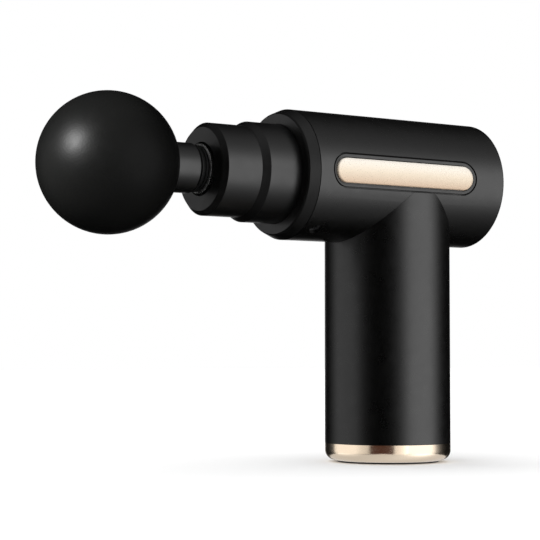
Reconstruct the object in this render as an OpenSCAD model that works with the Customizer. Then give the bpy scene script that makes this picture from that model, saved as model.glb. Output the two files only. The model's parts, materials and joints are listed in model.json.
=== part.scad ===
// Compact percussive massager: a barrel with a stepped nozzle across the top of a round handle.
// Frame: origin at the centre of the standing face, +Z up, the massage ball towards -X.
// Barrel parts are drawn in a local frame whose +Z runs forward along the barrel axis.

/* [Barrel] */
// Outer diameter of the barrel tube
barrel_d = 45; // [43:0.5:56]
// Wall of the barrel tube
barrel_wall = 1.6; // [1.4:0.1:2.4]
// Handle axis to the front edge of the barrel tube
barrel_front = 44.5; // [42:0.5:56]
// Handle axis to the rear edge of the barrel tube
barrel_rear = 36; // [34:0.5:46]
// Rounding of the barrel's rear edge
rear_edge = 0.8; // [0.3:0.1:1.2]
// Standing face to the barrel axis
axis_height = 99.6; // [99:0.2:124]

/* [Handle] */
// How far each side of the handle lies inside the barrel's side
handle_inset = 0.2; // [0.1:0.1:0.8]
// Wall of the handle tube
handle_wall = 1.8; // [1.4:0.1:2.2]

/* [Base] */
// Height of the base cap's outer band, from the standing face
base_cap_h = 6.5; // [5.5:0.5:8]
// Rounding of the base cap's lower edge
base_edge = 3.6; // [2:0.2:4.4]
// Diameter of the rubber pad that the massager stands on
base_pad_d = 36; // [32:0.5:36.4]
// Thickness of the rubber pad
base_pad_t = 1; // [0.8:0.1:1.2]

/* [Front collar] */
// Barrel edge to the collar's flat front face
collar_len = 4.1; // [3.5:0.1:5]
// How much the collar's outside tapers in towards its front
collar_taper = 1.4; // [0.8:0.1:2]
// Chamfer between that taper and the collar's front face
collar_edge = 0.5; // [0.3:0.1:0.8]
// Length of the collar's spigot inside the barrel
spigot_len = 8; // [7:0.5:10]
// Diameter of the recessed screw holes that hold the collar
collar_hole_d = 5; // [3.6:0.1:5.2]
// Angle of those holes below the horizontal
collar_hole_angle = 60; // [45:1:75]

/* [Nozzle] */
// Diameter of the nozzle's wider root
nozzle_root_d = 34.2; // [33:0.2:35.4]
// Diameter of the nozzle's narrower tip
nozzle_tip_d = 31.2; // [30:0.2:32.4]
// Handle axis to the front edge of the root
nozzle_step = 61; // [60:0.5:66]
// Length of the tapered shoulder between root and tip
shoulder_len = 2.5; // [1.5:0.1:3.5]
// Handle axis to the nozzle's front face
nozzle_front = 78.2; // [77:0.2:90]
// Chamfer round the nozzle's nose
nose_edge = 1.6; // [0.8:0.1:2]
// Wall of the nozzle
nozzle_wall = 2.2; // [1.6:0.1:2.4]

/* [Piston] */
// Diameter of the sliding piston tube
piston_d = 16.8; // [14:0.2:17]
// Diameter of the socket that holds a massage head
socket_d = 12.6; // [11.6:0.1:12.8]
// Depth of that socket
socket_depth = 24; // [20:0.5:27]
// How far the piston's lip stands out of the nozzle at mid-stroke
piston_proud = 1.2; // [0.8:0.1:3]
// Full travel of the piston
stroke = 7; // [5:0.1:8.4]

/* [Massage head] */
// Diameter of the ball
ball_d = 46.5; // [40:0.5:56]
// Wall of the hollow ball
ball_wall = 3; // [2.5:0.5:5]
// Piston lip to the middle of the ball
ball_reach = 33.6; // [30:0.2:44]
// Thickness of the cushion ring between the piston's lip and the head's neck
cushion_t = 3.6; // [2.5:0.1:4.5]

/* [Motor] */
// Outer diameter of the rotor bell
bell_d = 32; // [28:0.5:33]
// Height of the rotor bell
bell_h = 12; // [11:0.1:12.2]
// Diameter of the motor shaft and of the crank pin
shaft_d = 4; // [3:0.5:4]
// Number of stator teeth
tooth_count = 12; // [9:3:12]
// Number of rotor magnets
magnet_count = 14; // [10:2:16]

/* [Battery] */
// Diameter of one cell
cell_d = 18.3; // [14:0.1:18.6]
// Length of one cell
cell_len = 65; // [50:0.5:65.4]

/* [Side trim] */
// Length of the metal inlay
inlay_len = 58.8; // [40:0.2:59]
// Width of the metal inlay
inlay_w = 8.4; // [6:0.1:10]
// Width of the bezel round it
bezel_w = 1.3; // [0.8:0.1:1.8]
// Middle of the trim, forward of the handle axis
trim_forward = 8.2; // [4:0.2:10]
// Middle of the trim, above the barrel axis
trim_up = 0.3; // [0:0.1:1]

/* [Button] */
// Diameter of the power button
button_d = 14; // [12:0.5:16]
// Travel of the power button
button_travel = 0.8; // [0.4:0.1:0.8]

/* [Hidden] */
$fn = 96;

// Clearances
fit_gap = 0.05;      // between glued, pressed or screwed neighbours
run_gap = 0.05;      // radial, round a shaft that slides or turns in a bush
part_line = 0.3;     // the visible gap round a trim piece and behind the collar
free_gap = 0.5;      // between pieces that pass each other
eps = 0.01;          // how far a cutter runs past what it cuts

// Barrel and handle
barrel_r = barrel_d / 2;
barrel_bore_r = barrel_r - barrel_wall;
handle_r = barrel_r - handle_inset;
handle_bore_r = handle_r - handle_wall;
inside_barrel_r = barrel_bore_r - 4 * fit_gap;

// Collar and nozzle, as distances forward of the handle axis
collar_face = barrel_front + collar_len;
spigot_back = barrel_front - spigot_len;
collar_hole_at = barrel_front - 5.3;
collar_screw_sink = 1.2;
collar_screw_r = collar_hole_d / 2 - 0.2;
root_r = nozzle_root_d / 2;
tip_r = nozzle_tip_d / 2;
collar_bore_r = root_r + 3 * fit_gap;
flange_t = 3;
flange_front = spigot_back - 2 * fit_gap;
flange_back = flange_front - flange_t;
bush_wall = 2.1;
hub_wall = 1.8;
piston_r = piston_d / 2;
bush_r = piston_r + run_gap;
bush_out_r = bush_r + bush_wall;
hub_r = bush_out_r + hub_wall;
mouth_r = piston_r + 0.7;
bush_len = 12.5;
seal_t = 1.5;
nose_t = 2;
front_bush_front = nozzle_front - nose_t - seal_t;
front_bush_back = front_bush_front - bush_len;
rear_bush_back = flange_back + 0.6;
rear_bush_front = rear_bush_back + 12;
tip_tail = nozzle_step - 9;
shoulder_front = nozzle_step + shoulder_len;
flange_screw_r = (hub_r + root_r - nozzle_wall) / 2;
flange_screw_angles = [0, 105, 255];
flange_screw_tip = flange_front - 0.6;

// Slider-crank: the crank pin turns in the yoke's cross slot. The piston follows the pin in a constant ratio,
// so the slot is wider than the bearing by the most that the pin's true sine motion departs from that ratio.
crank_r = stroke / 2;
lag_angle = acos(2 / PI);
crank_lag = crank_r * (sin(lag_angle) - lag_angle / 90);
crank_bearing_r = 5;
crank_bearing_w = 4;
slot_half_w = crank_bearing_r + crank_lag + 2 * run_gap;
slot_half_l = crank_r + crank_bearing_r + free_gap;
yoke_t = 5;
yoke_wall = 3;
yoke_half_w = slot_half_w + yoke_wall;
yoke_half_l = slot_half_l + 2.5;
rail_tongue = 2.8;
tongue_t = 2;
tongue_gap = 0.1;
tongue_half_l = yoke_half_l + rail_tongue;
disc_r = crank_r + crank_bearing_r + 3.5;
disc_gap = 0.6;
disc_h = 4.9;

spigot_r = 5.5;
yoke_neck_end = disc_r + crank_r + 1;
piston_back = yoke_neck_end + 1;
spigot_in = 11;
piston_lip = nozzle_front + piston_proud;
socket_r = socket_d / 2;
socket_floor = piston_lip - socket_depth;
cross_pin_r = 1.5;
cross_pin_at = piston_back + 6;

// Massage head, as distances forward of the handle axis at mid-stroke
ball_r = ball_d / 2;
ball_at = piston_lip + ball_reach;
neck_back = piston_lip + cushion_t;
plug_r = socket_r - 2 * run_gap;
plug_back = socket_floor + 2.5;
anchor_back = ball_at - ball_r + 9.5;
anchor_t = 3;
anchor_r = piston_r + 3.6;
o_ring_d = 1.5;
o_ring_mid_r = socket_r - run_gap / 2 - o_ring_d / 2;
o_ring_at = [plug_back + 6, plug_back + 16];
cushion_r = piston_r - 0.5;

// Drive frame
rail_wall = 3;
rail_half_in = disc_r + 0.4;
rail_channel = tongue_half_l + 2 * tongue_gap;
rail_half_out = rail_channel + rail_wall;
rail_end = yoke_half_w + crank_r + 4;
retainer_t = 2;
retainer_bar = rail_end - (yoke_half_w + crank_r + 0.6);
plate_t = 3;
plate_rear = 20;
bulkhead_front = flange_back - 2 * fit_gap;
bulkhead_back = bulkhead_front - 3;
retainer_screw_x = rail_end - 2.2;
retainer_screw_y = (rail_channel + rail_half_out) / 2;

// Heights
disc_top = axis_height - yoke_t / 2 - disc_gap;
disc_bottom = disc_top - disc_h;
shaft_top = disc_top - 1.9;
pin_bottom = shaft_top + 0.2;
grub_r = 1.25;
grub_z = disc_bottom + grub_r + 0.35;
plate_top = disc_bottom - 1;
plate_bottom = plate_top - plate_t;
motor_flange_t = 1.6;
lead_space = 1.8;
motor_flange_bottom = plate_bottom - motor_flange_t;
bell_top = motor_flange_bottom - lead_space;
bell_bottom = bell_top - bell_h;
bell_floor_t = 1.6;
pad_sink = 0.4;
cap_floor_top = pad_sink + 2.4;
base_head_h = 0.8;
base_head_top = base_pad_t + fit_gap + base_head_h;
tray_t = 1.4;
tab_t = 0.3;
tray_bottom = cap_floor_top + 2 * fit_gap;
cell_bottom = tray_bottom + tray_t + tab_t + 4 * fit_gap;
cell_top = cell_bottom + cell_len;
top_tray_bottom = cell_top + tab_t + 4 * fit_gap;
top_tray_top = top_tray_bottom + tray_t;
cap_spigot_top = base_cap_h + 3;

// Motor
bell_r = bell_d / 2;
bell_wall = 1;
shaft_r = shaft_d / 2;
magnet_t = 1.7;
air_gap = 0.4;
magnet_r = bell_r - bell_wall - magnet_t - fit_gap;
stator_r = magnet_r - air_gap;
stator_top = bell_top - 1.2;
stator_bottom = bell_bottom + bell_floor_t + 1.8;
coil_over = 0.9;
bearing_r = shaft_r + 2.5;
bearing_w = 3.5;
bearing_tube_r = bearing_r + 1.5;
motor_flange_r = 12;
motor_screw_r = 8.8;
motor_screw_angles = [45, 135, 225, 315];
tooth_root_r = bearing_tube_r + 2;
tooth_w = 2.2;
shoe_t = 1.2;
coil_side_w = 0.95;

// Handle fittings
post_r = 1.6;
post_pitch_r = handle_bore_r - 0.1 - post_r;
post_angles = [32, 148, 212, 328];
side_post_angles = [44, 136, 224, 316];
side_post_pitch_r = post_pitch_r - 2;
holder_r = handle_bore_r - 4 * fit_gap;
cell_pitch = cell_d + 0.3;
base_screw_x = 11.5;
base_boss_r = 2.9;
board_x = 11.6;
board_t = 1.6;
board_half_w = 8.4;
board_bottom = 13;
board_len = 50;
usb_w = 9;
usb_h = 3.2;
usb_z = 16.5;
usb_wall = 0.35;
usb_recess = 0.4;
port_gap = 0.3;
wire_notch_w = 16;

// Side trim
trim_t = 1;
bezel_half_w = inlay_w / 2 + bezel_w + part_line;
bezel_len = inlay_len + 2 * (bezel_w + part_line);
pocket_len = bezel_len + 2 * part_line;
pocket_w = 2 * bezel_half_w + 2 * part_line;

// Rear end, as distances behind the handle axis
cap_t = 2;
cap_face = barrel_rear - 0.3;
cap_inner = cap_face - cap_t;
cap_rim_len = 4;
cap_r = barrel_bore_r - 2 * fit_gap;
button_r = button_d / 2;
button_ring_w = 1.4;
button_hole_r = button_r + 0.15;
button_flange_t = 1.2;
button_flange_back = cap_inner - 0.1;
button_proud = 0.5;
plunger_len = 0.6;
switch_h = 2.6;
stem_end = button_flange_back - button_flange_t - 1.4;
plunger_tip = stem_end - button_travel - fit_gap;
switch_face = plunger_tip - plunger_len;
switch_board_face = switch_face - switch_h;
switch_board_t = 1.2;
switch_board_r = 14.5;
light_r = 1.1;
light_pitch_r = 12;
light_angles = [-45, -15, 15, 45];
cap_boss_y = 11.5;

// Draws its children along the barrel axis: local +Z is forward, local +X is up.
module on_barrel() {
    translate([0, 0, axis_height]) rotate([0, -90, 0]) children();
}

// A plain ring or disc between two stations of the local axis
module ring(inner, outer, from, to) {
    difference() {
        translate([0, 0, from]) cylinder(r = outer, h = to - from);
        translate([0, 0, from - eps]) cylinder(r = inner, h = to - from + 2 * eps);
    }
}

module rod(r, from, to) {
    translate([0, 0, from]) cylinder(r = r, h = to - from);
}

// Half section of a disc whose outer edge is rounded at the far end
module rounded_end_2d(r, from, to, edge) {
    translate([0, from]) square([r, to - from - edge]);
    translate([0, from]) square([r - edge, to - from]);
    translate([r - edge, to - edge]) intersection() {
        circle(r = edge);
        translate([-eps, -eps]) square(edge + 2 * eps);
    }
}

// A bar with round ends, standing across the barrel axis on the local YZ side
module chamfered_end_2d(r, from, to, edge) {
    polygon([[0, from], [r, from], [r, to - edge], [r - edge, to], [0, to]]);
}

module pill_2d(length, width) {
    square([width, length - width], center = true);
    for (end = [-1, 1]) translate([0, end * (length - width) / 2]) circle(d = width);
}

// The side trim's outline as a prism that crosses one side wall; side is -1 for left and 1 for right
module trim_prism(length, width, side) {
    translate([trim_up, side * barrel_r, trim_forward])
        rotate([90, 0, 0])
            linear_extrude(height = barrel_r, center = true) pill_2d(length, width);
}

module pan_screw(r, head_r, head_h, length) {
    cylinder(r = r, h = length);
    translate([0, 0, length]) difference() {
        cylinder(r = head_r, h = head_h);
        translate([0, 0, head_h / 2]) for (turn = [0, 90]) rotate(turn)
            translate([-head_r * 0.6, -r * 0.2, 0]) cube([head_r * 1.2, r * 0.4, head_h]);
    }
}

// Sweeps a round wire along points that all lie in one plane of constant y
wire_sides = 8;
function tangent(path, i) =
    let (a = path[max(i - 1, 0)], b = path[min(i + 1, len(path) - 1)]) (b - a) / norm(b - a);
function wire_ring(path, i, r) =
    let (t = tangent(path, i), n = cross(t, [0, 1, 0]))
    [for (k = [0 : wire_sides - 1])
        path[i] + r * (cos(360 * k / wire_sides) * n + sin(360 * k / wire_sides) * [0, 1, 0])];
module wire(path, r) {
    points = [for (i = [0 : len(path) - 1]) each wire_ring(path, i, r)];
    sides = [for (i = [0 : len(path) - 2], k = [0 : wire_sides - 1])
        let (a = i * wire_sides + k, b = i * wire_sides + (k + 1) % wire_sides)
        [a, b, b + wire_sides, a + wire_sides]];
    start = [[for (k = [wire_sides - 1 : -1 : 0]) k]];
    end = [[for (k = [0 : wire_sides - 1]) (len(path) - 1) * wire_sides + k]];
    polyhedron(points = points, faces = concat(sides, start, end));
}

// ---- Shells ----

module barrel_shell() {
    color([0.05, 0.05, 0.055]) difference() {
        on_barrel() difference() {
            mirror([0, 0, 1]) rotate_extrude()
                rounded_end_2d(barrel_r, -barrel_front, barrel_rear, rear_edge);
            rod(barrel_bore_r, -barrel_rear - eps, barrel_front + eps);
            for (side = [-1, 1]) {
                difference() {
                    trim_prism(pocket_len, pocket_w, side);
                    rod(barrel_r - trim_t, -barrel_rear, barrel_front);
                }
                collar_hole(side) cylinder(d = collar_hole_d, h = barrel_r + 1);
            }
        }
        translate([0, 0, axis_height - barrel_r - eps]) cylinder(r = handle_bore_r, h = barrel_r);
    }
}

// Puts its children on one of the collar's screw holes, pointing out from the barrel axis
module collar_hole(side) {
    translate([0, 0, collar_hole_at]) rotate([0, 0, side * (90 + collar_hole_angle)]) rotate([0, 90, 0]) children();
}

module handle_shell() {
    color([0.05, 0.05, 0.055]) difference() {
        translate([0, 0, base_cap_h + fit_gap]) difference() {
            cylinder(r = handle_r, h = axis_height - base_cap_h);
            translate([0, 0, -eps]) cylinder(r = handle_bore_r, h = axis_height);
        }
        on_barrel() {
            rod(barrel_r + fit_gap, -barrel_rear, barrel_front);
            for (side = [-1, 1]) trim_prism(pocket_len, pocket_w, side);
        }
        translate([0, 0, usb_z]) rotate([90, 0, 90]) linear_extrude(height = handle_r + eps)
            rotate(90) pill_2d(usb_w + 2 * port_gap, usb_h + 2 * port_gap);
    }
}

module front_collar() {
    color([0.06, 0.06, 0.065]) on_barrel() difference() {
        union() {
            rotate_extrude() polygon([
                [0, barrel_front + part_line], [barrel_r, barrel_front + part_line],
                [barrel_r - collar_taper, collar_face - collar_edge],
                [barrel_r - collar_taper - collar_edge, collar_face], [0, collar_face]
            ]);
            rod(barrel_r - 0.8, barrel_front + fit_gap, barrel_front + part_line + eps);
            rod(barrel_bore_r - fit_gap, spigot_back, barrel_front + 2 * fit_gap);
        }
        rod(collar_bore_r, spigot_back - eps, collar_face + eps);
        for (side = [-1, 1]) collar_hole(side) cylinder(r = collar_screw_r + eps, h = barrel_r + 1);
    }
}

module collar_screws() {
    color([0.1, 0.1, 0.11]) on_barrel() for (side = [-1, 1]) collar_hole(side) difference() {
        rod(collar_screw_r, collar_bore_r + 0.5, barrel_r - collar_screw_sink);
        translate([0, 0, barrel_r - collar_screw_sink - 1.4]) cylinder(r = collar_screw_r * 0.55, h = 2, $fn = 6);
    }
}

module base_cap() {
    color([0.86, 0.70, 0.52]) difference() {
        union() {
            mirror([0, 0, 1]) rotate_extrude() rounded_end_2d(handle_r, -base_cap_h, -pad_sink, base_edge);
            cylinder_at(handle_bore_r - fit_gap, base_cap_h - eps, cap_spigot_top);
        }
        cylinder_at(handle_bore_r - 1.6, cap_floor_top, cap_spigot_top + eps);
        cylinder_at(base_pad_d / 2 + 2 * fit_gap, 0, base_pad_t + fit_gap);
        for (side = [-1, 1]) translate([side * base_screw_x, 0, 0]) {
            cylinder_at(1.25, 0, cap_floor_top + eps);
            cylinder_at(2.3, 0, base_head_top + fit_gap);
        }
    }
}

// A vertical cylinder between two heights
module cylinder_at(r, from, to) {
    translate([0, 0, from]) cylinder(r = r, h = to - from);
}

module base_pad() {
    color([0.08, 0.08, 0.08]) difference() {
        cylinder_at(base_pad_d / 2, 0, base_pad_t);
        for (groove = [0.55, 0.75, 0.9]) translate([0, 0, -eps]) difference() {
            cylinder(r = groove * base_pad_d / 2 + 0.35, h = 0.3);
            translate([0, 0, -eps]) cylinder(r = groove * base_pad_d / 2 - 0.35, h = 0.3 + 3 * eps);
        }
    }
}

module base_screws() {
    color([0.6, 0.6, 0.62]) for (side = [-1, 1]) translate([side * base_screw_x, 0, tray_bottom + 5.5])
        mirror([0, 0, 1]) pan_screw(1, 2, base_head_h, tray_bottom + 5.5 - base_head_top);
}

// ---- Nozzle ----

module nozzle_sleeve() {
    color([0.05, 0.05, 0.055]) on_barrel() difference() {
        union() {
            rod(inside_barrel_r, flange_back, flange_front);
            rod(root_r, flange_back, nozzle_step);
            translate([0, 0, nozzle_step]) cylinder(r1 = root_r, r2 = tip_r + fit_gap, h = shoulder_len);
        }
        difference() {
            rod(root_r - nozzle_wall, flange_front, shoulder_front + eps);
            rod(hub_r, flange_front - eps, rear_bush_front + 1);
        }
        rod(bush_out_r + fit_gap, rear_bush_back, shoulder_front);
        rod(mouth_r, flange_back - eps, shoulder_front);
        for (a = flange_screw_angles) rotate(a) translate([flange_screw_r, 0, 0])
            rod(1 + eps, flange_back - eps, flange_screw_tip + fit_gap);
    }
}

module nozzle_tip() {
    tail_r = root_r - nozzle_wall - fit_gap;
    color([0.05, 0.05, 0.055]) on_barrel() difference() {
        union() {
            rotate_extrude() chamfered_end_2d(tip_r, shoulder_front + fit_gap, nozzle_front, nose_edge);
            rod(tail_r, tip_tail, shoulder_front + fit_gap + eps);
        }
        difference() {
            rod(tail_r - nozzle_wall, tip_tail - eps, nozzle_front - nose_t);
            rod(hub_r, front_bush_back - 1, nozzle_front);
        }
        rod(bush_out_r + fit_gap, tip_tail - eps, nozzle_front - nose_t);
        rod(mouth_r, tip_tail, nozzle_front + eps);
    }
}

module dust_seal() {
    color([0.12, 0.12, 0.12]) on_barrel() {
        ring(piston_r + run_gap, bush_out_r, front_bush_front + fit_gap, front_bush_front + seal_t - fit_gap);
    }
}

module front_bush() {
    color([0.85, 0.82, 0.72]) on_barrel() ring(bush_r, bush_out_r, front_bush_back, front_bush_front);
}

module rear_bush() {
    color([0.85, 0.82, 0.72]) on_barrel() ring(bush_r, bush_out_r, rear_bush_back + fit_gap, rear_bush_front);
}

module nozzle_flange_screws() {
    color([0.6, 0.6, 0.62]) on_barrel() for (a = flange_screw_angles) rotate(a)
        translate([flange_screw_r, 0, flange_screw_tip]) mirror([0, 0, 1])
            pan_screw(1, 1.8, 1.1, flange_screw_tip - bulkhead_back + fit_gap);
}

// ---- Drive frame ----

module drive_frame() {
    color([0.2, 0.2, 0.22]) difference() {
        intersection() {
            on_barrel() rod(inside_barrel_r, -plate_rear, bulkhead_front);
            union() {
                translate([-bulkhead_front, -barrel_r, plate_bottom])
                    cube([bulkhead_front + plate_rear, barrel_d, plate_t]);
                translate([-bulkhead_front, -barrel_r, axis_height - barrel_r])
                    cube([bulkhead_front - bulkhead_back, barrel_d, barrel_d]);
                for (side = [-1, 1]) {
                    rail_block(side, rail_half_in, plate_top - eps, axis_height - tongue_t / 2 - tongue_gap);
                    rail_block(side, rail_channel, plate_top - eps, axis_height + tongue_t / 2 + tongue_gap);
                    side_rib(side);
                }
            }
        }
        on_barrel() rod(mouth_r + 0.6, bulkhead_back - eps, bulkhead_front + eps);
        on_barrel() for (a = flange_screw_angles) rotate(a) translate([flange_screw_r, 0, bulkhead_back - eps])
            cylinder(r = 1 + fit_gap, h = 4);
        cylinder_at(bearing_r + fit_gap, plate_bottom - eps, plate_top + eps);
        for (a = motor_screw_angles) rotate(a) translate([motor_screw_r, 0, 0]) {
            cylinder_at(1 + fit_gap, plate_bottom - eps, plate_top + eps);
            cylinder_at(1.8 + fit_gap, plate_top - 1.2, plate_top + eps);
        }
        for (a = post_angles) rotate(a) translate([post_pitch_r, 0, 0])
            cylinder_at(0.8 + fit_gap, plate_bottom - eps, plate_top + eps);
        retainer_screw_places() cylinder_at(0.8 + fit_gap, axis_height - 5, axis_height + 5);
    }
}

// One rail beside the yoke: from half-width y_in outward, between two heights
module rail_block(side, y_in, from, to) {
    y_low = side > 0 ? y_in : -rail_half_out;
    translate([-rail_end, y_low, from]) cube([2 * rail_end, rail_half_out - y_in, to - from]);
}

// Stiffening rib from the bulkhead back to the rail
module side_rib(side) {
    rib_w = 2.2;
    translate([-bulkhead_front, side > 0 ? rail_half_out - rib_w : -rail_half_out, plate_top - eps])
        cube([bulkhead_front - rail_end + eps, rib_w, 6]);
}

module retainer_screw_places() {
    for (x = [-1, 1], y = [-1, 1]) translate([x * retainer_screw_x, y * retainer_screw_y, 0]) children();
}

module yoke_retainer() {
    low = axis_height + tongue_t / 2 + tongue_gap + fit_gap;
    color([0.3, 0.3, 0.32]) difference() {
        union() {
            for (side = [-1, 1]) rail_block(side, rail_half_in, low, low + retainer_t);
            translate([rail_end - retainer_bar, -rail_half_out, low]) cube([retainer_bar, 2 * rail_half_out, retainer_t]);
        }
        retainer_screw_places() cylinder_at(0.8 + fit_gap, low - eps, low + retainer_t + eps);
    }
}

module retainer_screws() {
    top = axis_height + tongue_t / 2 + tongue_gap + fit_gap + retainer_t;
    color([0.6, 0.6, 0.62]) retainer_screw_places() translate([0, 0, top + fit_gap - 6]) pan_screw(0.8, 1.4, 0.9, 6);
}

// ---- Motor, fixed parts ----

module motor_base() {
    color([0.55, 0.56, 0.58]) difference() {
        union() {
            cylinder_at(motor_flange_r, motor_flange_bottom, plate_bottom - fit_gap);
            cylinder_at(bearing_tube_r, stator_bottom, plate_bottom - fit_gap);
        }
        cylinder_at(bearing_r + fit_gap, stator_bottom - eps, plate_bottom);
        for (a = motor_screw_angles) rotate(a) translate([motor_screw_r, 0, 0])
            cylinder_at(1 + fit_gap, motor_flange_bottom - eps, plate_bottom);
    }
}

module motor_bearings() {
    color([0.75, 0.76, 0.78]) for (z = [stator_bottom, plate_bottom - bearing_w]) difference() {
        cylinder_at(bearing_r, z, z + bearing_w - fit_gap);
        cylinder_at(shaft_r + run_gap, z - eps, z + bearing_w);
    }
}

module tooth_2d(grow) {
    translate([tooth_root_r - 1, -tooth_w / 2 - grow]) square([stator_r - tooth_root_r + 0.5, tooth_w + 2 * grow]);
}

module stator_core() {
    tooth_pitch = 360 / tooth_count;
    color([0.35, 0.36, 0.4]) translate([0, 0, stator_bottom]) linear_extrude(height = stator_top - stator_bottom)
        difference() {
            union() {
                circle(r = tooth_root_r);
                for (i = [0 : tooth_count - 1]) rotate(i * tooth_pitch) tooth_2d(0);
                difference() {
                    circle(r = stator_r);
                    circle(r = stator_r - shoe_t);
                    for (i = [0 : tooth_count - 1]) rotate((i + 0.5) * tooth_pitch)
                        translate([0, -0.8]) square([bell_r, 1.6]);
                }
            }
            circle(r = bearing_tube_r + fit_gap);
        }
}

module stator_windings() {
    coil_from = tooth_root_r + 0.3;
    coil_to = stator_r - shoe_t - 0.4;
    color([0.72, 0.38, 0.2]) for (i = [0 : tooth_count - 1]) rotate(i * 360 / tooth_count) difference() {
        translate([coil_from, -tooth_w / 2 - coil_side_w, stator_bottom - coil_over])
            cube([coil_to - coil_from, tooth_w + 2 * coil_side_w, stator_top - stator_bottom + 2 * coil_over]);
        translate([0, 0, stator_bottom - fit_gap])
            linear_extrude(height = stator_top - stator_bottom + 2 * fit_gap) tooth_2d(fit_gap);
    }
}

module motor_screws() {
    color([0.6, 0.6, 0.62]) for (a = motor_screw_angles) rotate(a)
        translate([motor_screw_r, 0, motor_flange_bottom + fit_gap])
            pan_screw(1, 1.8, 1, plate_top - 1.2 + fit_gap - motor_flange_bottom);
}

// ---- Rotor ----

module rotor_bell() {
    color([0.5, 0.5, 0.53]) difference() {
        cylinder_at(bell_r, bell_bottom, bell_top);
        cylinder_at(bell_r - bell_wall, bell_bottom + bell_floor_t, bell_top + eps);
        cylinder_at(shaft_r, bell_bottom - eps, bell_top);
        for (a = [0 : 60 : 300]) rotate(a) translate([bell_r * 0.55, 0, 0])
            cylinder_at(2.2, bell_bottom - eps, bell_bottom + bell_floor_t + eps);
    }
}

module rotor_magnets() {
    pitch = 360 / magnet_count;
    color([0.7, 0.7, 0.72]) translate([0, 0, bell_bottom + bell_floor_t + 0.8])
        for (i = [0 : magnet_count - 1]) rotate(i * pitch) rotate_extrude(angle = pitch - 3)
            translate([magnet_r, 0]) square([magnet_t, bell_h - bell_floor_t - 1.2]);
}

module motor_shaft() {
    color([0.8, 0.8, 0.82]) cylinder_at(shaft_r, bell_bottom, shaft_top);
}

// Steel disc on the shaft: the crank pin's boss to the -Y side at rest, the counterweight opposite it
module crank_disc() {
    hub = shaft_r + 3;
    color([0.62, 0.62, 0.64]) difference() {
        union() {
            cylinder_at(hub, disc_bottom, disc_top);
            translate([0, -crank_r, 0]) cylinder_at(hub - 0.5, disc_bottom, disc_top);
            translate([0, -crank_r, 0]) cylinder_at(shaft_r + 1, disc_top - eps, axis_height - crank_bearing_w / 2 - fit_gap);
            translate([0, 0, disc_bottom]) rotate_extrude(angle = 180) square([disc_r, disc_h]);
        }
        cylinder_at(shaft_r, disc_bottom - eps, shaft_top);
        translate([0, -crank_r, 0]) cylinder_at(shaft_r, pin_bottom, axis_height);
        translate([0, 0, grub_z]) rotate([-90, 0, 0]) cylinder(r = grub_r, h = disc_r + 1);
    }
}

module crank_grub_screw() {
    color([0.25, 0.25, 0.27]) translate([0, 0, grub_z]) rotate([-90, 0, 0]) difference() {
        rod(grub_r, shaft_r + 0.1, disc_r - 0.5);
        translate([0, 0, disc_r - 2]) cylinder(r = 0.7, h = 2, $fn = 6);
    }
}

module crank_pin() {
    color([0.8, 0.8, 0.82]) translate([0, -crank_r, 0]) {
        cylinder_at(shaft_r, pin_bottom, axis_height + crank_bearing_w / 2 + fit_gap);
        cylinder_at(shaft_r + 0.6, axis_height + crank_bearing_w / 2 + fit_gap, axis_height + yoke_t / 2 + 0.2);
    }
}

module crank_bearing() {
    ball_track_r = (shaft_r + crank_bearing_r) / 2;
    ball_size = 0.75;
    ball_count = 8;
    half_gap = 0.4;
    color([0.78, 0.79, 0.8]) translate([0, -crank_r, axis_height]) {
        for (limits = [[shaft_r, ball_track_r - half_gap], [ball_track_r + half_gap, crank_bearing_r]]) difference() {
            ring(limits[0], limits[1], -crank_bearing_w / 2, crank_bearing_w / 2);
            rotate_extrude() translate([ball_track_r, 0]) circle(r = ball_size + 0.04);
        }
        for (i = [0 : ball_count - 1]) rotate(i * 360 / ball_count) translate([ball_track_r, 0, 0]) sphere(r = ball_size);
    }
}

// ---- Yoke and piston ----

module yoke() {
    color([0.88, 0.88, 0.84]) difference() {
        union() {
            translate([0, 0, axis_height]) {
                cube([2 * yoke_half_w, 2 * yoke_half_l, yoke_t], center = true);
                cube([2 * yoke_half_w, 2 * tongue_half_l, tongue_t], center = true);
                translate([-yoke_neck_end, -spigot_r, -yoke_t / 2]) cube([yoke_neck_end, 2 * spigot_r, yoke_t]);
            }
            on_barrel() rod(spigot_r, yoke_neck_end, piston_back + spigot_in);
        }
        translate([0, 0, axis_height]) cube([2 * slot_half_w, 2 * slot_half_l, yoke_t + 1], center = true);
        on_barrel() translate([0, 0, cross_pin_at]) rotate([90, 0, 0])
            cylinder(r = cross_pin_r, h = 2 * barrel_r, center = true);
    }
}

module piston_tube() {
    lip_edge = 0.4;
    color([0.07, 0.07, 0.075]) on_barrel() difference() {
        union() {
            rod(piston_r, piston_back, piston_lip - lip_edge);
            translate([0, 0, piston_lip - lip_edge]) cylinder(r1 = piston_r, r2 = piston_r - lip_edge, h = lip_edge);
        }
        rod(spigot_r + fit_gap, piston_back - eps, piston_back + spigot_in + 1);
        rod(spigot_r - 1.5, piston_back, socket_floor + eps);
        rod(socket_r, socket_floor, piston_lip + eps);
        translate([0, 0, cross_pin_at]) rotate([90, 0, 0]) cylinder(r = cross_pin_r, h = 2 * barrel_r, center = true);
    }
}

module yoke_cross_pin() {
    color([0.7, 0.7, 0.72]) on_barrel() translate([0, 0, cross_pin_at]) rotate([90, 0, 0])
        cylinder(r = cross_pin_r, h = 2 * (piston_r - 0.6), center = true);
}

// ---- Massage head ----

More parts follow.
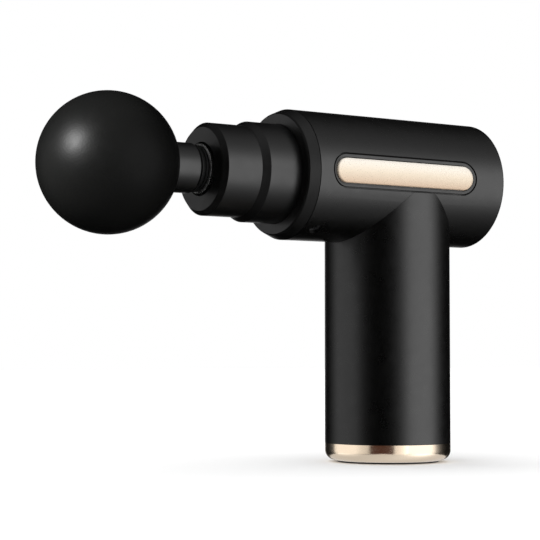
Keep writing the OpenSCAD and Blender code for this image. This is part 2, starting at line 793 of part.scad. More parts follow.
module head_plug() {
    color([0.07, 0.07, 0.075]) on_barrel() difference() {
        union() {
            rod(plug_r, plug_back, neck_back + eps);
            rod(piston_r, neck_back, anchor_back + eps);
            rod(anchor_r, anchor_back, anchor_back + anchor_t);
        }
        for (at = o_ring_at) ring(o_ring_mid_r - o_ring_d / 2 - fit_gap, plug_r + 1, at - o_ring_d * 0.6, at + o_ring_d * 0.6);
        rod(plug_r - 2.4, plug_back - eps, plug_back + 14);
        rod(plug_r - 2.4, plug_back + 18, anchor_back + anchor_t + eps);
    }
}

module head_o_rings() {
    color([0.15, 0.15, 0.15]) on_barrel() for (at = o_ring_at) translate([0, 0, at])
        rotate_extrude() translate([o_ring_mid_r, 0]) circle(d = o_ring_d);
}

module head_cushion_ring() {
    color([0.09, 0.09, 0.09]) on_barrel() ring(plug_r + fit_gap, cushion_r, piston_lip + fit_gap, neck_back - fit_gap);
}

module massage_ball() {
    color([0.04, 0.04, 0.04]) on_barrel() difference() {
        union() {
            difference() {
                translate([0, 0, ball_at]) sphere(r = ball_r);
                translate([0, 0, ball_at]) sphere(r = ball_r - ball_wall);
            }
            intersection() {
                translate([0, 0, ball_at]) sphere(r = ball_r - ball_wall / 2);
                rod(anchor_r + 2.5, ball_at - ball_r, anchor_back + anchor_t + 2);
            }
        }
        rod(piston_r + fit_gap, ball_at - ball_r - 1, anchor_back + anchor_t + 3);
        rod(anchor_r + fit_gap, anchor_back - fit_gap, anchor_back + anchor_t + fit_gap);
    }
}

// ---- Handle internals ----

module battery_holder() {
    color([0.25, 0.25, 0.28]) difference() {
        union() {
            cylinder_at(handle_bore_r - 1.6 - 2 * fit_gap, tray_bottom, tray_bottom + tray_t);
            cylinder_at(holder_r, top_tray_bottom, top_tray_top);
            for (a = post_angles) rotate(a) translate([post_pitch_r, 0, 0])
                cylinder_at(post_r, top_tray_bottom, plate_bottom - fit_gap);
            for (a = side_post_angles) rotate(a) translate([side_post_pitch_r, 0, 0])
                cylinder_at(post_r, tray_bottom, top_tray_top);
            for (side = [-1, 1]) translate([side * base_screw_x, 0, 0]) cylinder_at(base_boss_r, tray_bottom, tray_bottom + 6);
        }
        translate([board_x - 3, -wire_notch_w / 2, top_tray_bottom - eps])
            cube([barrel_d, wire_notch_w, tray_t + 2 * eps]);
        for (a = post_angles) rotate(a) translate([post_pitch_r, 0, 0])
            cylinder_at(0.8 + eps, plate_bottom - 8, plate_bottom);
        for (side = [-1, 1]) translate([side * base_screw_x, 0, 0])
            cylinder_at(1 + eps, tray_bottom - eps, tray_bottom + 5.5 + eps);
    }
}

module cell_places() {
    for (side = [-1, 1]) translate([0, side * cell_pitch / 2, 0]) children();
}

module battery_cells() {
    color([0.25, 0.45, 0.65]) cell_places() difference() {
        cylinder_at(cell_d / 2, cell_bottom, cell_top);
        translate([0, 0, cell_top - 1.6]) ring(cell_d / 2 - 0.5, cell_d / 2 + 1, 0, 0.6);
    }
}

module battery_tabs() {
    tab_w = 8;
    tab_reach = 5;
    color([0.8, 0.8, 0.78]) {
        translate([-tab_w / 2, -cell_pitch / 2 - 4, cell_bottom - tab_t - fit_gap]) cube([tab_w, cell_pitch + 8, tab_t]);
        for (side = [-1, 1]) translate([-tab_w / 2, side * cell_pitch / 2 - 4, cell_top + fit_gap])
            cube([tab_w + tab_reach, 8, tab_t]);
    }
}

module frame_screws() {
    color([0.6, 0.6, 0.62]) for (a = post_angles) rotate(a)
        translate([post_pitch_r, 0, plate_top + fit_gap - 9]) pan_screw(0.8, 1.4, 0.9, 9);
}

module main_board() {
    color([0.05, 0.3, 0.15]) translate([board_x, -board_half_w, board_bottom]) cube([board_t, 2 * board_half_w, board_len]);
}

module board_chips() {
    outer = board_x + board_t + fit_gap;
    inner = board_x - fit_gap;
    color([0.08, 0.08, 0.08]) {
        for (row = [0 : 2], side = [-1, 1]) translate([outer, side * 4 - 2.5, 30 + row * 8]) cube([1.2, 5, 6]);
        translate([inner - 1, -3, 38]) cube([1, 6, 6]);
        translate([outer, 0, 56]) rotate([0, 90, 0]) cylinder(r = 3, h = 3);
    }
}

// Stadium-shaped receptacle with its contact tongue, mouth towards +X
module usb_socket() {
    back = board_x + board_t + fit_gap;
    mouth = handle_r - usb_recess;
    color([0.75, 0.75, 0.77]) translate([0, 0, usb_z]) {
        difference() {
            usb_bar(usb_w, usb_h, back, mouth);
            usb_bar(usb_w - 2 * usb_wall, usb_h - 2 * usb_wall, back + 1.5, mouth + eps);
        }
        translate([back + 1, -usb_w / 2 + 1.2, -0.35]) cube([mouth - back - 1.8, usb_w - 2.4, 0.7]);
    }
}

module usb_bar(width, height, from, to) {
    translate([from, 0, 0]) rotate([90, 0, 90]) linear_extrude(height = to - from) rotate(90) pill_2d(width, height);
}

// ---- Side trim ----

module bezel(side) {
    color([0.12, 0.12, 0.12]) on_barrel() difference() {
        intersection() {
            ring(barrel_r - trim_t + fit_gap, barrel_r, -barrel_rear, barrel_front);
            trim_prism(bezel_len, 2 * bezel_half_w, side);
        }
        trim_prism(inlay_len + 2 * part_line, inlay_w + 2 * part_line, side);
    }
}

module inlay(side) {
    color([0.95, 0.84, 0.72]) on_barrel() intersection() {
        ring(barrel_r - trim_t + fit_gap, barrel_r + 0.05, -barrel_rear, barrel_front);
        trim_prism(inlay_len, inlay_w, side);
    }
}

module left_bezel() { bezel(-1); }
module left_inlay() { inlay(-1); }
module right_bezel() { bezel(1); }
module right_inlay() { inlay(1); }

// ---- Rear end: local +Z still points forward, so stations behind the handle axis are negative ----

module rear_cap() {
    color([0.05, 0.05, 0.055]) on_barrel() difference() {
        union() {
            rod(cap_r, -cap_face, -cap_inner);
            ring(cap_r - 1.4, cap_r, -cap_inner - eps, -cap_inner + cap_rim_len);
            for (side = [-1, 1]) translate([0, side * cap_boss_y, 0])
                rod(2.2, -cap_inner - eps, -switch_board_face - fit_gap);
        }
        rod(button_hole_r, -cap_face - eps, -cap_inner + eps);
        rod(button_hole_r + button_ring_w, -cap_face - eps, -cap_face + 0.8);
        for (a = light_angles) rotate(a) translate([light_pitch_r, 0, 0])
            rod(light_r + fit_gap, -cap_face - eps, -cap_inner + eps);
        for (side = [-1, 1]) translate([0, side * cap_boss_y, 0])
            rod(0.8 + eps, -switch_board_face - 5, -switch_board_face);
    }
}

module button_ring() {
    color([0.86, 0.70, 0.52]) on_barrel()
        ring(button_hole_r, button_hole_r + button_ring_w - fit_gap, -cap_face - 0.15, -cap_face + 0.8 - fit_gap);
}

module power_button() {
    color([0.1, 0.1, 0.1]) on_barrel() difference() {
        union() {
            mirror([0, 0, 1]) rotate_extrude()
                rounded_end_2d(button_r, button_flange_back - eps, cap_face + button_proud, 0.6);
            rod(button_r + 1.2, -button_flange_back, -button_flange_back + button_flange_t);
            rod(2, -button_flange_back, -stem_end);
        }
        translate([0, 0, -cap_face - button_proud - 39.6]) sphere(r = 40);
    }
}

module light_pipes() {
    color([0.9, 0.95, 1]) on_barrel() for (a = light_angles) rotate(a) translate([light_pitch_r, 0, 0])
        rod(light_r, -cap_face, -switch_board_face - 0.8);
}

module switch_board() {
    color([0.05, 0.3, 0.15]) on_barrel() difference() {
        rod(switch_board_r, -switch_board_face, -switch_board_face + switch_board_t);
        for (side = [-1, 1]) translate([0, side * cap_boss_y, 0])
            rod(0.8 + fit_gap, -switch_board_face - 1, -switch_board_face + 3);
    }
}

module tact_switch() {
    color([0.2, 0.2, 0.2]) on_barrel() {
        translate([-3, -3, -switch_face]) cube([6, 6, switch_h - fit_gap]);
        rod(1.7, -plunger_tip, -switch_face);
    }
}

module switch_board_screws() {
    color([0.6, 0.6, 0.62]) on_barrel() for (side = [-1, 1])
        translate([0, side * cap_boss_y, -switch_board_face - 4.5])
            pan_screw(0.8, 1.4, 0.9, 4.5 + switch_board_t + fit_gap);
}

// ---- Wires ----

module motor_leads() {
    lead_r = 0.6;
    top = motor_flange_bottom - lead_space / 2 + 0.1;
    down_x = (bell_r + handle_bore_r) / 2;
    board_top = board_bottom + board_len;
    path = [
        [stator_r - 2, 0, top], [bell_r + 0.5, 0, top], [down_x - 0.4, 0, top - 0.4], [down_x, 0, top - 1.4],
        [down_x, 0, top_tray_top], [down_x - 0.4, 0, top_tray_bottom - 3], [board_x + board_t + 2.2, 0, board_top - 1.5],
        [board_x + board_t + 1.2, 0, board_top - 2.5], [board_x + board_t + fit_gap, 0, board_top - 2.5]
    ];
    color([0.8, 0.65, 0.1]) for (i = [-1 : 1]) translate([0, 2.4 * i, 0]) wire(path, lead_r);
}

module battery_leads() {
    lead_r = 0.6;
    z = cell_top + fit_gap + tab_t / 2;
    board_top = board_bottom + board_len;
    path = [
        [9.05, 0, z], [10, 0, z], [10.7, 0, z - 0.9], [10.8, 0, z - 3], [10.8, 0, board_top - 2],
        [11, 0, board_top - 3.2], [board_x - fit_gap, 0, board_top - 3.2]
    ];
    color([0.7, 0.1, 0.1]) for (side = [-1, 1]) translate([0, side * 6.8, 0]) wire(path, lead_r);
}

module button_cable() {
    lead_r = 0.45;
    down_x = (bell_r + handle_bore_r) / 2;
    board_top = board_bottom + board_len;
    start_x = switch_board_face - switch_board_t - fit_gap;
    path = [
        [start_x, 0, axis_height - 10.5], [start_x - 0.8, 0, axis_height - 10.5], [start_x - 1.4, 0, axis_height - 12],
        [start_x - 1.8, 0, plate_bottom - 1.5], [down_x + 0.6, 0, plate_bottom - 4], [down_x, 0, plate_bottom - 6],
        [down_x, 0, top_tray_top], [down_x - 0.6, 0, top_tray_bottom - 3], [board_x + board_t + 1.6, 0, board_top - 4],
        [board_x + board_t + 0.9, 0, board_top - 4.6], [board_x + board_t + fit_gap, 0, board_top - 4.6]
    ];
    color([0.85, 0.85, 0.85]) for (i = [0 : 2]) translate([0, 4.8 + i, 0]) wire(path, lead_r);
}

barrel_shell();
handle_shell();
front_collar();
collar_screws();
nozzle_sleeve();
nozzle_tip();
dust_seal();
front_bush();
rear_bush();
nozzle_flange_screws();
drive_frame();
yoke_retainer();
retainer_screws();
motor_base();
motor_bearings();
stator_core();
stator_windings();
motor_screws();
rotor_bell();
rotor_magnets();
motor_shaft();
crank_disc();
crank_grub_screw();
crank_pin();
crank_bearing();
yoke();
piston_tube();
yoke_cross_pin();
massage_ball();
head_plug();
head_o_rings();
head_cushion_ring();
battery_holder();
battery_cells();
battery_tabs();
frame_screws();
main_board();
board_chips();
usb_socket();
base_cap();
base_pad();
base_screws();
left_bezel();
left_inlay();
right_bezel();
right_inlay();
rear_cap();
button_ring();
power_button();
light_pipes();
switch_board();
tact_switch();
switch_board_screws();
motor_leads();
battery_leads();
button_cable();
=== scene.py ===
import json
from math import cos, pi, radians, sin, sqrt, tan

import bmesh
import bpy
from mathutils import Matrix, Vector


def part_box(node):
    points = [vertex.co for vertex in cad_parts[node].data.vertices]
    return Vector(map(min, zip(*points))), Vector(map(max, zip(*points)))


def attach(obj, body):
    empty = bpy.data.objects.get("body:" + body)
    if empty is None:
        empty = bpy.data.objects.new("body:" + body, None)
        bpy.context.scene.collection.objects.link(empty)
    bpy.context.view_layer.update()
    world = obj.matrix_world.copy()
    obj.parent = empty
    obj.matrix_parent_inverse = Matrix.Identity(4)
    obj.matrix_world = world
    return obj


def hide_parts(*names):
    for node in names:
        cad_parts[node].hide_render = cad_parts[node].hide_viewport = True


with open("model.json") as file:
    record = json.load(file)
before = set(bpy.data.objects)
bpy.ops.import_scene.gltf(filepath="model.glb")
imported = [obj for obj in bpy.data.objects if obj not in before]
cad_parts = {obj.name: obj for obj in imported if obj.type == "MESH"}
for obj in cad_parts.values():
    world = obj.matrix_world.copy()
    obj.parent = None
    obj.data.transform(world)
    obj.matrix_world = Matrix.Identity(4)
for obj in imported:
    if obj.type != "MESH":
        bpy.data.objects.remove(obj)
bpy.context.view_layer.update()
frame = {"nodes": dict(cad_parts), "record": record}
NODES = frame["nodes"]
MM = 0.001

# ---------------------------------------------------------------- materials


class Mat:
    """A Principled material whose nodes are added by short calls."""

    def __init__(self, name, colour, rough, metal=0.0, **sockets):
        self.m = bpy.data.materials.new(name)
        self.m.use_nodes = True
        self.t = self.m.node_tree
        self.b = self.t.nodes["Principled BSDF"]
        self.b.inputs["Base Color"].default_value = (*colour, 1)
        self.b.inputs["Roughness"].default_value = rough
        self.b.inputs["Metallic"].default_value = metal
        for key, value in sockets.items():
            self.b.inputs[key.replace("_", " ")].default_value = value
        self.where = self.node("ShaderNodeTexCoord").outputs["Object"]
        self.height = None

    def node(self, kind):
        return self.t.nodes.new(kind)

    def link(self, a, b):
        self.t.links.new(a, b)

    def place(self, axis):
        """The object's own coordinate along one axis."""
        n = self.node("ShaderNodeSeparateXYZ")
        self.link(self.where, n.inputs[0])
        return n.outputs[axis]

    def stretched(self, scale):
        n = self.node("ShaderNodeMapping")
        n.inputs["Scale"].default_value = scale
        self.link(self.where, n.inputs["Vector"])
        return n.outputs["Vector"]

    def noise(self, scale, detail, vector=None):
        n = self.node("ShaderNodeTexNoise")
        n.inputs["Scale"].default_value = scale
        n.inputs["Detail"].default_value = detail
        n.inputs["Roughness"].default_value = 0.55
        self.link(vector or self.where, n.inputs["Vector"])
        return n.outputs["Fac"]

    def cells(self, scale):
        n = self.node("ShaderNodeTexVoronoi")
        n.inputs["Scale"].default_value = scale
        self.link(self.where, n.inputs["Vector"])
        return n.outputs["Distance"]

    def remap(self, value, low, high, a=0.3, b=0.7):
        """Turn the range a..b of a value into low..high."""
        n = self.node("ShaderNodeMapRange")
        for key, v in (("From Min", a), ("From Max", b), ("To Min", low), ("To Max", high)):
            n.inputs[key].default_value = v
        self.link(value, n.inputs["Value"])
        return n.outputs["Result"]

    def ramp(self, value, stops):
        n = self.node("ShaderNodeValToRGB")
        e = n.color_ramp.elements
        while len(e) < len(stops):
            e.new(0.5)
        for one, (at, colour) in zip(e, stops):
            one.position = at
            one.color = (*colour, 1)
        self.link(value, n.inputs["Fac"])
        return n.outputs["Color"]

    def colour(self, out):
        self.link(out, self.b.inputs["Base Color"])

    def mottle(self, scale, detail, dark, light):
        """Drift the colour between two shades."""
        self.colour(self.ramp(self.noise(scale, detail), [(0.3, dark), (0.7, light)]))

    def rough(self, noise, low, high):
        self.link(self.remap(noise, low, high), self.b.inputs["Roughness"])

    def bump(self, out, distance, strength=1.0):
        """Add a relief, on top of any relief that is there already."""
        n = self.node("ShaderNodeBump")
        n.inputs["Distance"].default_value = distance
        n.inputs["Strength"].default_value = strength
        self.link(out, n.inputs["Height"])
        if self.height is not None:
            self.link(self.height, n.inputs["Normal"])
        self.height = n.outputs["Normal"]
        self.link(self.height, self.b.inputs["Normal"])


def shade(colour, factor):
    return [min(1, c * factor) for c in colour]


def satin_black(name, base, rough, grain=2600, depth=0.012 * MM, sheen=1.0):
    m = Mat(name, base, rough, IOR=1.5, Specular_IOR_Level=sheen)
    m.mottle(55, 3, shade(base, 0.9), shade(base, 1.12))
    m.rough(m.noise(240, 4), rough - 0.03, rough + 0.04)
    m.bump(m.noise(grain, 2), depth)
    return m


def anodised_tube(lip_starts=0.36 * MM, lip_ends=0.42 * MM):
    """Black tube whose lip is chamfered after anodising, so the chamfer shows bare metal."""
    black, bare = (0.004, 0.004, 0.004), (0.78, 0.78, 0.77)
    m = satin_black("black_anodised_tube", black, 0.28)
    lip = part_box("piston_tube")[0].x
    bright = m.remap(m.place("X"), 1, 0, lip + lip_starts, lip + lip_ends)
    m.colour(m.ramp(bright, [(0.0, black), (1.0, bare)]))
    m.link(bright, m.b.inputs["Metallic"])
    return m


def ball_plastic():
    m = Mat("ball_soft_plastic", (0.0030, 0.0030, 0.0029), 0.40, IOR=1.5, Specular_IOR_Level=0.1)
    m.rough(m.noise(300, 4), 0.38, 0.43)
    m.mottle(40, 3, (0.0026, 0.0027, 0.0026), (0.0034, 0.0034, 0.0032))
    m.bump(m.cells(1500), 0.02 * MM, 0.6)
    return m


def champagne_plate():
    m = Mat("champagne_plate", (0.80, 0.68, 0.54), 0.17, 1.0)
    m.mottle(30, 2, (0.78, 0.655, 0.51), (0.83, 0.70, 0.56))
    m.rough(m.noise(900, 3, m.stretched((0.05, 1, 1))), 0.15, 0.20)
    return m


def gold_with_painted_light(bottom=95.3 * MM, top=104.3 * MM):
    """Gold inlay with painted light and shade: pale at its top as if lit from above, darker and
    warmer at its bottom edge.
    """
    m = Mat("gold_inlay_painted_light", (0.6, 0.5, 0.4), 0.28, 0.3)
    # Painted light: the colour turns paler towards the top and warmer towards the bottom, as if
    # lit from above.
    up = m.remap(m.place("Z"), 0, 1, bottom, top)
    m.colour(m.ramp(up, [(0.0, (0.57, 0.41, 0.285)), (0.5, (0.77, 0.66, 0.52)),
                         (1.0, (0.93, 0.88, 0.80))]))
    m.rough(m.noise(2500, 2), 0.27, 0.29)
    return m


def metal(name, colour, rough, stretch=(1, 1, 0.05)):
    m = Mat(name, colour, rough, 1.0)
    m.rough(m.noise(1500, 3, m.stretched(stretch)), rough - 0.06, rough + 0.08)
    m.bump(m.noise(1500, 2, m.stretched(stretch)), 0.006 * MM)
    m.mottle(120, 3, shade(colour, 0.9), colour)
    return m


def wound_copper():
    m = metal("enamelled_copper", (0.75, 0.30, 0.12), 0.3)
    m.bump(m.noise(2500, 1, m.stretched((0.05, 0.05, 1))), 0.06 * MM)
    return m


def moulded(name, colour, rough):
    m = Mat(name, colour, rough)
    m.rough(m.noise(300, 3), rough - 0.05, rough + 0.06)
    m.mottle(60, 3, shade(colour, 0.9), shade(colour, 1.06))
    m.bump(m.noise(1800, 2), 0.01 * MM)
    return m


def circuit_board():
    m = moulded("board_green", (0.015, 0.12, 0.05), 0.35)
    m.colour(m.ramp(m.cells(900), [(0.02, (0.03, 0.2, 0.08)), (0.3, (0.012, 0.1, 0.04))]))
    return m


MATS = {
    "black_shell": satin_black("satin_black_shell", (0.0010, 0.0009, 0.0008), 0.29),
    "black_plastic": satin_black("satin_black_plastic", (0.0014, 0.0013, 0.0013), 0.33),
    "black_steel": satin_black("black_oxide_steel", (0.012, 0.012, 0.013), 0.38),
    "black_rubber": satin_black("black_rubber", (0.003, 0.003, 0.003), 0.5, 1500, 0.03 * MM, 0.4),
    "button_rubber": satin_black("button_rubber", (0.012, 0.012, 0.012), 0.5, 1800, 0.02 * MM,
                                 0.6),
    "black_piston": anodised_tube(),
    "bezel_grey": satin_black("bezel_grey", (0.010, 0.0098, 0.0094), 0.36),
    "component_black": satin_black("moulded_epoxy", (0.016, 0.016, 0.017), 0.55, 3000, 0.01 * MM),
    "grey_plastic": satin_black("glass_filled_grey", (0.06, 0.06, 0.065), 0.5, 1400, 0.03 * MM),
    "ball_plastic": ball_plastic(),
    "champagne_gold": champagne_plate(),
    "steel": metal("machined_steel", (0.58, 0.58, 0.60), 0.3),
    "rotor_steel": metal("zinc_plated_steel", (0.50, 0.50, 0.52), 0.35),
    "lamination_steel": metal("stacked_laminations", (0.30, 0.31, 0.34), 0.4, (0.05, 0.05, 4)),
    "bare_aluminium": metal("turned_aluminium", (0.72, 0.73, 0.75), 0.32),
    "copper": wound_copper(),
    "acetal": moulded("natural_acetal", (0.72, 0.70, 0.62), 0.38),
    "cell_sleeve": moulded("cell_sleeve", (0.04, 0.16, 0.32), 0.3),
    "red_wire": moulded("red_wire", (0.45, 0.02, 0.02), 0.45),
    "pale_wire": moulded("pale_wire", (0.6, 0.6, 0.58), 0.45),
    "light_pipe": moulded("frosted_light_pipe", (0.62, 0.68, 0.74), 0.25),
    "board_green": circuit_board(),
}
# The inlay's gold carries painted light, paler at its top and darker at its bottom.
INLAY = gold_with_painted_light()

SLOT_OF = {s["node"]: s["material_slot"] for s in frame["record"]["subparts"]}
for name, obj in NODES.items():
    obj.data.materials.clear()
    obj.data.materials.append((INLAY if name.endswith("_inlay") else MATS[SLOT_OF[name]]).m)

# ---------------------------------------------------------------- pieces made here

SHELL_LOW, SHELL_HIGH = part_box("barrel_shell")
AXIS = (SHELL_LOW.z + SHELL_HIGH.z) / 2
BARREL_R = (SHELL_HIGH.y - SHELL_LOW.y) / 2
SHARP_EDGE = radians(32)


def piece(name, bm, mat, node, body="housing"):
    """Finish a mesh as a piece that rides on a body and replaces a CAD node."""
    bmesh.ops.remove_doubles(bm, verts=bm.verts, dist=1e-7)
    bmesh.ops.recalc_face_normals(bm, faces=bm.faces)
    mesh = bpy.data.meshes.new(name)
    bm.to_mesh(mesh)
    bm.free()
    mesh.shade_smooth()
    mesh.set_sharp_from_angle(angle=SHARP_EDGE)
    obj = bpy.data.objects.new(name, mesh)
    bpy.context.scene.collection.objects.link(obj)
    mesh.materials.append(mat.m)
    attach(obj, body)
    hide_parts(node)


def pill(half_len, half_w, inset, arc=28, straight=12):
    """Points round a pill outline drawn in by inset, as (along, up)."""
    r = half_w - inset
    mid = half_len - half_w
    turns = [pi * k / arc - pi / 2 for k in range(arc + 1)]
    right_end = [(mid + r * cos(a), r * sin(a)) for a in turns]
    top = [(mid - 2 * mid * k / straight, r) for k in range(1, straight)]
    left_end = [(-u, -v) for u, v in right_end]
    bottom = [(-u, -v) for u, v in top]
    return right_end + top + left_end + bottom


def trim(name, node, rings, mat, closed):
    """A pill-shaped piece on the barrel's side.

    Each ring is (inset from the pill's edge, height above the barrel) in mm. A closed piece is a
    channel whose last ring meets its first; an open one is a bar with both its faces filled in.
    """
    lo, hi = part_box(node)
    side = 1 if hi.y > 0 else -1
    mid_x, mid_z = (lo.x + hi.x) / 2, (lo.z + hi.z) / 2
    half_len, half_w = (hi.x - lo.x) / 2, (hi.z - lo.z) / 2
    bm = bmesh.new()
    loops = []
    for inset, height in rings:
        level = BARREL_R + height * MM
        loop = []
        for u, v in pill(half_len, half_w, inset * MM):
            z = mid_z + v
            y = side * sqrt(level ** 2 - (z - AXIS) ** 2)
            loop.append(bm.verts.new((mid_x + u, y, z)))
        loops.append(loop)
    count = len(loops[0])
    pairs = list(zip(loops, loops[1:])) + ([(loops[-1], loops[0])] if closed else [])
    for a, b in pairs:
        for i in range(count):
            j = (i + 1) % count
            bm.faces.new((a[i], a[j], b[j], b[i]))
    if not closed:
        for loop in (loops[0], loops[-1]):
            rows = [(loop[i], loop[-1 - i]) for i in range(count // 2)]
            for (a, b), (c, d) in zip(rows, rows[1:]):
                bm.faces.new((a, c, d, b))
    piece(name, bm, mat, node)


# The channel round the inlay: a soft lip at the shell, then a floor that falls inward.
BEZEL_RINGS = [
    (0.2, -0.9), (0.2, -0.16), (0.23, -0.09), (0.30, -0.05), (0.42, -0.05), (0.75, -0.16),
    (1.0, -0.25), (1.16, -0.30), (1.24, -0.34), (1.26, -0.42), (1.26, -0.9)]
# The inlay bar: its back, straight sides, a rounded shoulder and a slightly crowned face.
INLAY_RINGS = [
    (3.6, -0.9), (2.4, -0.9), (1.2, -0.9), (0.0, -0.9), (0.0, -0.02), (0.015, 0.06), (0.05, 0.13),
    (0.11, 0.185), (0.2, 0.22), (0.4, 0.26), (0.8, 0.295), (1.4, 0.32), (2.0, 0.33),
    (2.8, 0.335), (3.5, 0.34), (4.0, 0.34)]
for side in ("left", "right"):
    trim(side + "_bezel_channel", side + "_bezel", BEZEL_RINGS, MATS["bezel_grey"],
         True)
    trim(side + "_inlay_bar", side + "_inlay", INLAY_RINGS, INLAY, False)


def rounded(outline, arc=5):
    """Points round a closed outline of (radius, forward, rounding), with every corner rounded."""
    points = []
    for i, (r, x, rounding) in enumerate(outline):
        here = Vector((r, x))
        back = Vector(outline[i - 1][:2]) - here
        on = Vector(outline[(i + 1) % len(outline)][:2]) - here
        half = back.angle(on) / 2
        reach = min(rounding / tan(half), 0.48 * back.length, 0.48 * on.length)
        radius = reach * tan(half)
        centre = here + (back.normalized() + on.normalized()).normalized() * radius / sin(half)
        start = (here + back.normalized() * reach - centre).normalized()
        end = (here + on.normalized() * reach - centre).normalized()
        points += [centre + start.slerp(end, k / arc) * radius for k in range(arc + 1)]
    return points


def lathe(name, node, body, outline, mat, steps=160):
    """A ring turned about the barrel's axis, from an outline in mm."""
    loop = rounded(outline)
    bm = bmesh.new()
    turns = []
    for k in range(steps):
        a = 2 * pi * k / steps
        turns.append([bm.verts.new((-p.y * MM, p.x * MM * cos(a), AXIS + p.x * MM * sin(a)))
                      for p in loop])
    for one, two in zip(turns, turns[1:] + turns[:1]):
        for i in range(len(loop)):
            j = (i + 1) % len(loop)
            bm.faces.new((one[i], one[j], two[j], two[i]))
    piece(name, bm, mat, node, body)


# The rubber ring on the head's neck, with two grooves round it. Its front is the ball's end.
lo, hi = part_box("head_cushion_ring")
front, back, out = -lo.x / MM, -hi.x / MM, (hi.y - lo.y) / 2 / MM
bore = 6.3
groove = out - 0.55
lathe("cushion_bellows", "head_cushion_ring", "head",
      [(bore, back, 0.1), (out, back, 0.35),
       (out, back + 0.95, 0.2), (groove, back + 1.2, 0.2),
       (groove, back + 1.5, 0.2), (out, back + 1.75, 0.2),
       (out, front - 0.95, 0.2), (groove, front - 0.75, 0.15),
       (groove, front - 0.5, 0.15), (out, front - 0.3, 0.1),
       (out, front, 0.1), (bore, front, 0.1)],
      MATS["black_rubber"])

# ---------------------------------------------------------------- camera

YAW, PITCH = radians(33.61), radians(2.78)
LOOKS_AT = Vector((-0.05027, 0, 0.06659))
DISTANCE = 0.58772
LENS, SENSOR = 114.70, 36

cam = bpy.data.objects.new("camera", bpy.data.cameras.new("camera"))
bpy.context.scene.collection.objects.link(cam)
bpy.context.scene.camera = cam
ahead = Vector((sin(YAW) * cos(PITCH), cos(YAW) * cos(PITCH), sin(PITCH)))
cam.location = LOOKS_AT - ahead * DISTANCE
cam.rotation_mode = "QUATERNION"
cam.rotation_quaternion = ahead.to_track_quat("-Z", "Y")
cam.data.lens, cam.data.sensor_width = LENS, SENSOR
cam.data.clip_start, cam.data.clip_end = 0.01, 20

# ---------------------------------------------------------------- light

# Directions are given as seen from the object: a turn to the right of the camera, and a rise.
toward = Vector((-sin(YAW), -cos(YAW), 0))
right = Vector((cos(YAW), -sin(YAW), 0))


def compass(turn, rise):
    t, e = radians(turn), radians(rise)
    return cos(e) * (cos(t) * toward + sin(t) * right) + sin(e) * Vector((0, 0, 1))


bpy.context.scene.view_settings.view_transform = "Standard"
world = bpy.data.worlds.new("studio")
world.use_nodes = True
bpy.context.scene.world = world
tree = world.node_tree
tree.nodes["Background"].inputs["Color"].default_value = (1, 1, 1, 1)
ray = tree.nodes.new("ShaderNodeNewGeometry").outputs["Incoming"]


def maths(kind, a, b):
    n = tree.nodes.new("ShaderNodeMath")
    n.operation = kind
    for socket, v in zip(n.inputs, (a, b)):
        if isinstance(v, (int, float)):
            socket.default_value = v
        else:
            tree.links.new(v, socket)
    return n.outputs[0]


def softbox(turn, rise, power, sharp):
    """A glow on the world round one direction. A higher sharp makes it smaller."""
    n = tree.nodes.new("ShaderNodeVectorMath")
    n.operation = "DOT_PRODUCT"
    tree.links.new(ray, n.inputs[0])
    n.inputs[1].default_value = -compass(turn, rise)
    facing = maths("MAXIMUM", n.outputs["Value"], 0)
    return maths("MULTIPLY", maths("POWER", facing, sharp), power)


def total(values):
    out = values[0]
    for v in values[1:]:
        out = maths("ADD", out, v)
    return out


def choose(test, yes, no):
    """One level for the rays of a kind, and another for the rest."""
    return maths("ADD", maths("MULTIPLY", test, yes),
                 maths("MULTIPLY", maths("SUBTRACT", 1, test), no))


# Reflections see these soft boxes. The two at the sides are capped, so each has an even middle.
# Diffuse light is white and a little brighter on the left. The camera sees plain white.
right_box = maths("MINIMUM", softbox(61, -1, 2.4, 8.5), 1.22)
left_box = maths("MINIMUM", softbox(-86, 2, 1.0, 9), 0.48)
upper_right, lower_right = softbox(60, 50, 0.33, 5), softbox(58, -45, 0.24, 5)
overhead, behind = softbox(0, 85, 0.10, 4), softbox(180, 0, 1.3, 60)
DARK_ROOM = 0.004
glossy = total([right_box, left_box, upper_right, lower_right, overhead, behind])
glossy = maths("ADD", glossy, DARK_ROOM)
diffuse = maths("ADD", softbox(-80, 30, 0.9, 1), 1.0)
path = tree.nodes.new("ShaderNodeLightPath").outputs
level = choose(path["Is Diffuse Ray"], diffuse, glossy)
level = choose(path["Is Camera Ray"], 1.0, level)
tree.links.new(level, tree.nodes["Background"].inputs["Strength"])


def area(name, at, target, width, height, power, receiver):
    """A lamp out of the camera's sight that lights one piece only."""
    data = bpy.data.lights.new(name, "AREA")
    data.shape, data.size, data.size_y = "RECTANGLE", width, height
    data.energy = power
    lamp = bpy.data.objects.new(name, data)
    bpy.context.scene.collection.objects.link(lamp)
    lamp.location = at
    lamp.rotation_mode = "QUATERNION"
    lamp.rotation_quaternion = (Vector(target) - Vector(at)).to_track_quat("-Z", "Y")
    lamp.visible_camera = False
    group = bpy.data.collections.new(name + "_receivers")
    group.objects.link(NODES[receiver])
    lamp.light_linking.receiver_collection = group
    return data


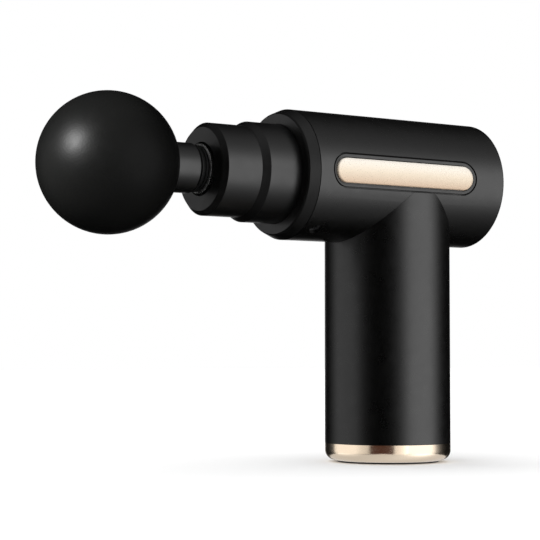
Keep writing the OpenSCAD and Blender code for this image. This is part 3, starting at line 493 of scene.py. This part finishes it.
ball_mid = (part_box("massage_ball")[0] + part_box("massage_ball")[1]) / 2
area("ball_key", ball_mid + 0.45 * compass(-51, 26), ball_mid, 0.16, 0.16, 7.4, "massage_ball")

# The strips that the cap reflects: name, turn, width, power, tint. The core is its brown middle.
CAP_STRIPS = [
    ("cap_left", -76, 0.66, 0.48, (1, 0.97, 0.93)),
    ("cap_middle", 21, 0.185, 0.17, (1, 0.96, 0.92)),
    ("cap_right", 60, 0.50, 0.16, (1, 0.97, 0.93)),
    ("cap_core", -14, 0.30, 0.020, (1, 0.38, 0.24)),
]
STRIP_HEIGHT, STRIP_DISTANCE = 0.3, 0.4
foot = Vector((0, 0, 0.004))
for name, turn, width, power, tint in CAP_STRIPS:
    strip = area(name, foot + STRIP_DISTANCE * compass(turn, 0), foot, width, STRIP_HEIGHT, power,
                 "base_cap")
    strip.color = tint
    strip.diffuse_factor = 0
area("cap_under", (0, 0, -0.05), foot, 0.3, 0.3, 0.2, "base_cap")

# ---------------------------------------------------------------- floor

FLOOR_HALF = 3
FLOOR_DROP = 0.2 * MM
mesh = bpy.data.meshes.new("floor")
corners = [(-1, -1), (1, -1), (1, 1), (-1, 1)]
mesh.from_pydata([(FLOOR_HALF * x, FLOOR_HALF * y, 0) for x, y in corners], [], [(0, 1, 2, 3)])
floor = bpy.data.objects.new("floor", mesh)
bpy.context.scene.collection.objects.link(floor)
floor.location.z = -FLOOR_DROP
m = Mat("pale_floor", (0.92, 0.92, 0.92), 0.6, Specular_IOR_Level=0.0)
m.mottle(4, 2, (0.91, 0.91, 0.91), (0.93, 0.93, 0.93))
# Seen from below, the floor is clear.
clear = m.node("ShaderNodeBsdfTransparent")
swap = m.node("ShaderNodeMixShader")
m.link(m.node("ShaderNodeNewGeometry").outputs["Backfacing"], swap.inputs[0])
m.link(m.b.outputs[0], swap.inputs[1])
m.link(clear.outputs[0], swap.inputs[2])
m.link(swap.outputs[0], m.t.nodes["Material Output"].inputs["Surface"])
mesh.materials.append(m.m)
floor.visible_glossy = False
floor.visible_shadow = False
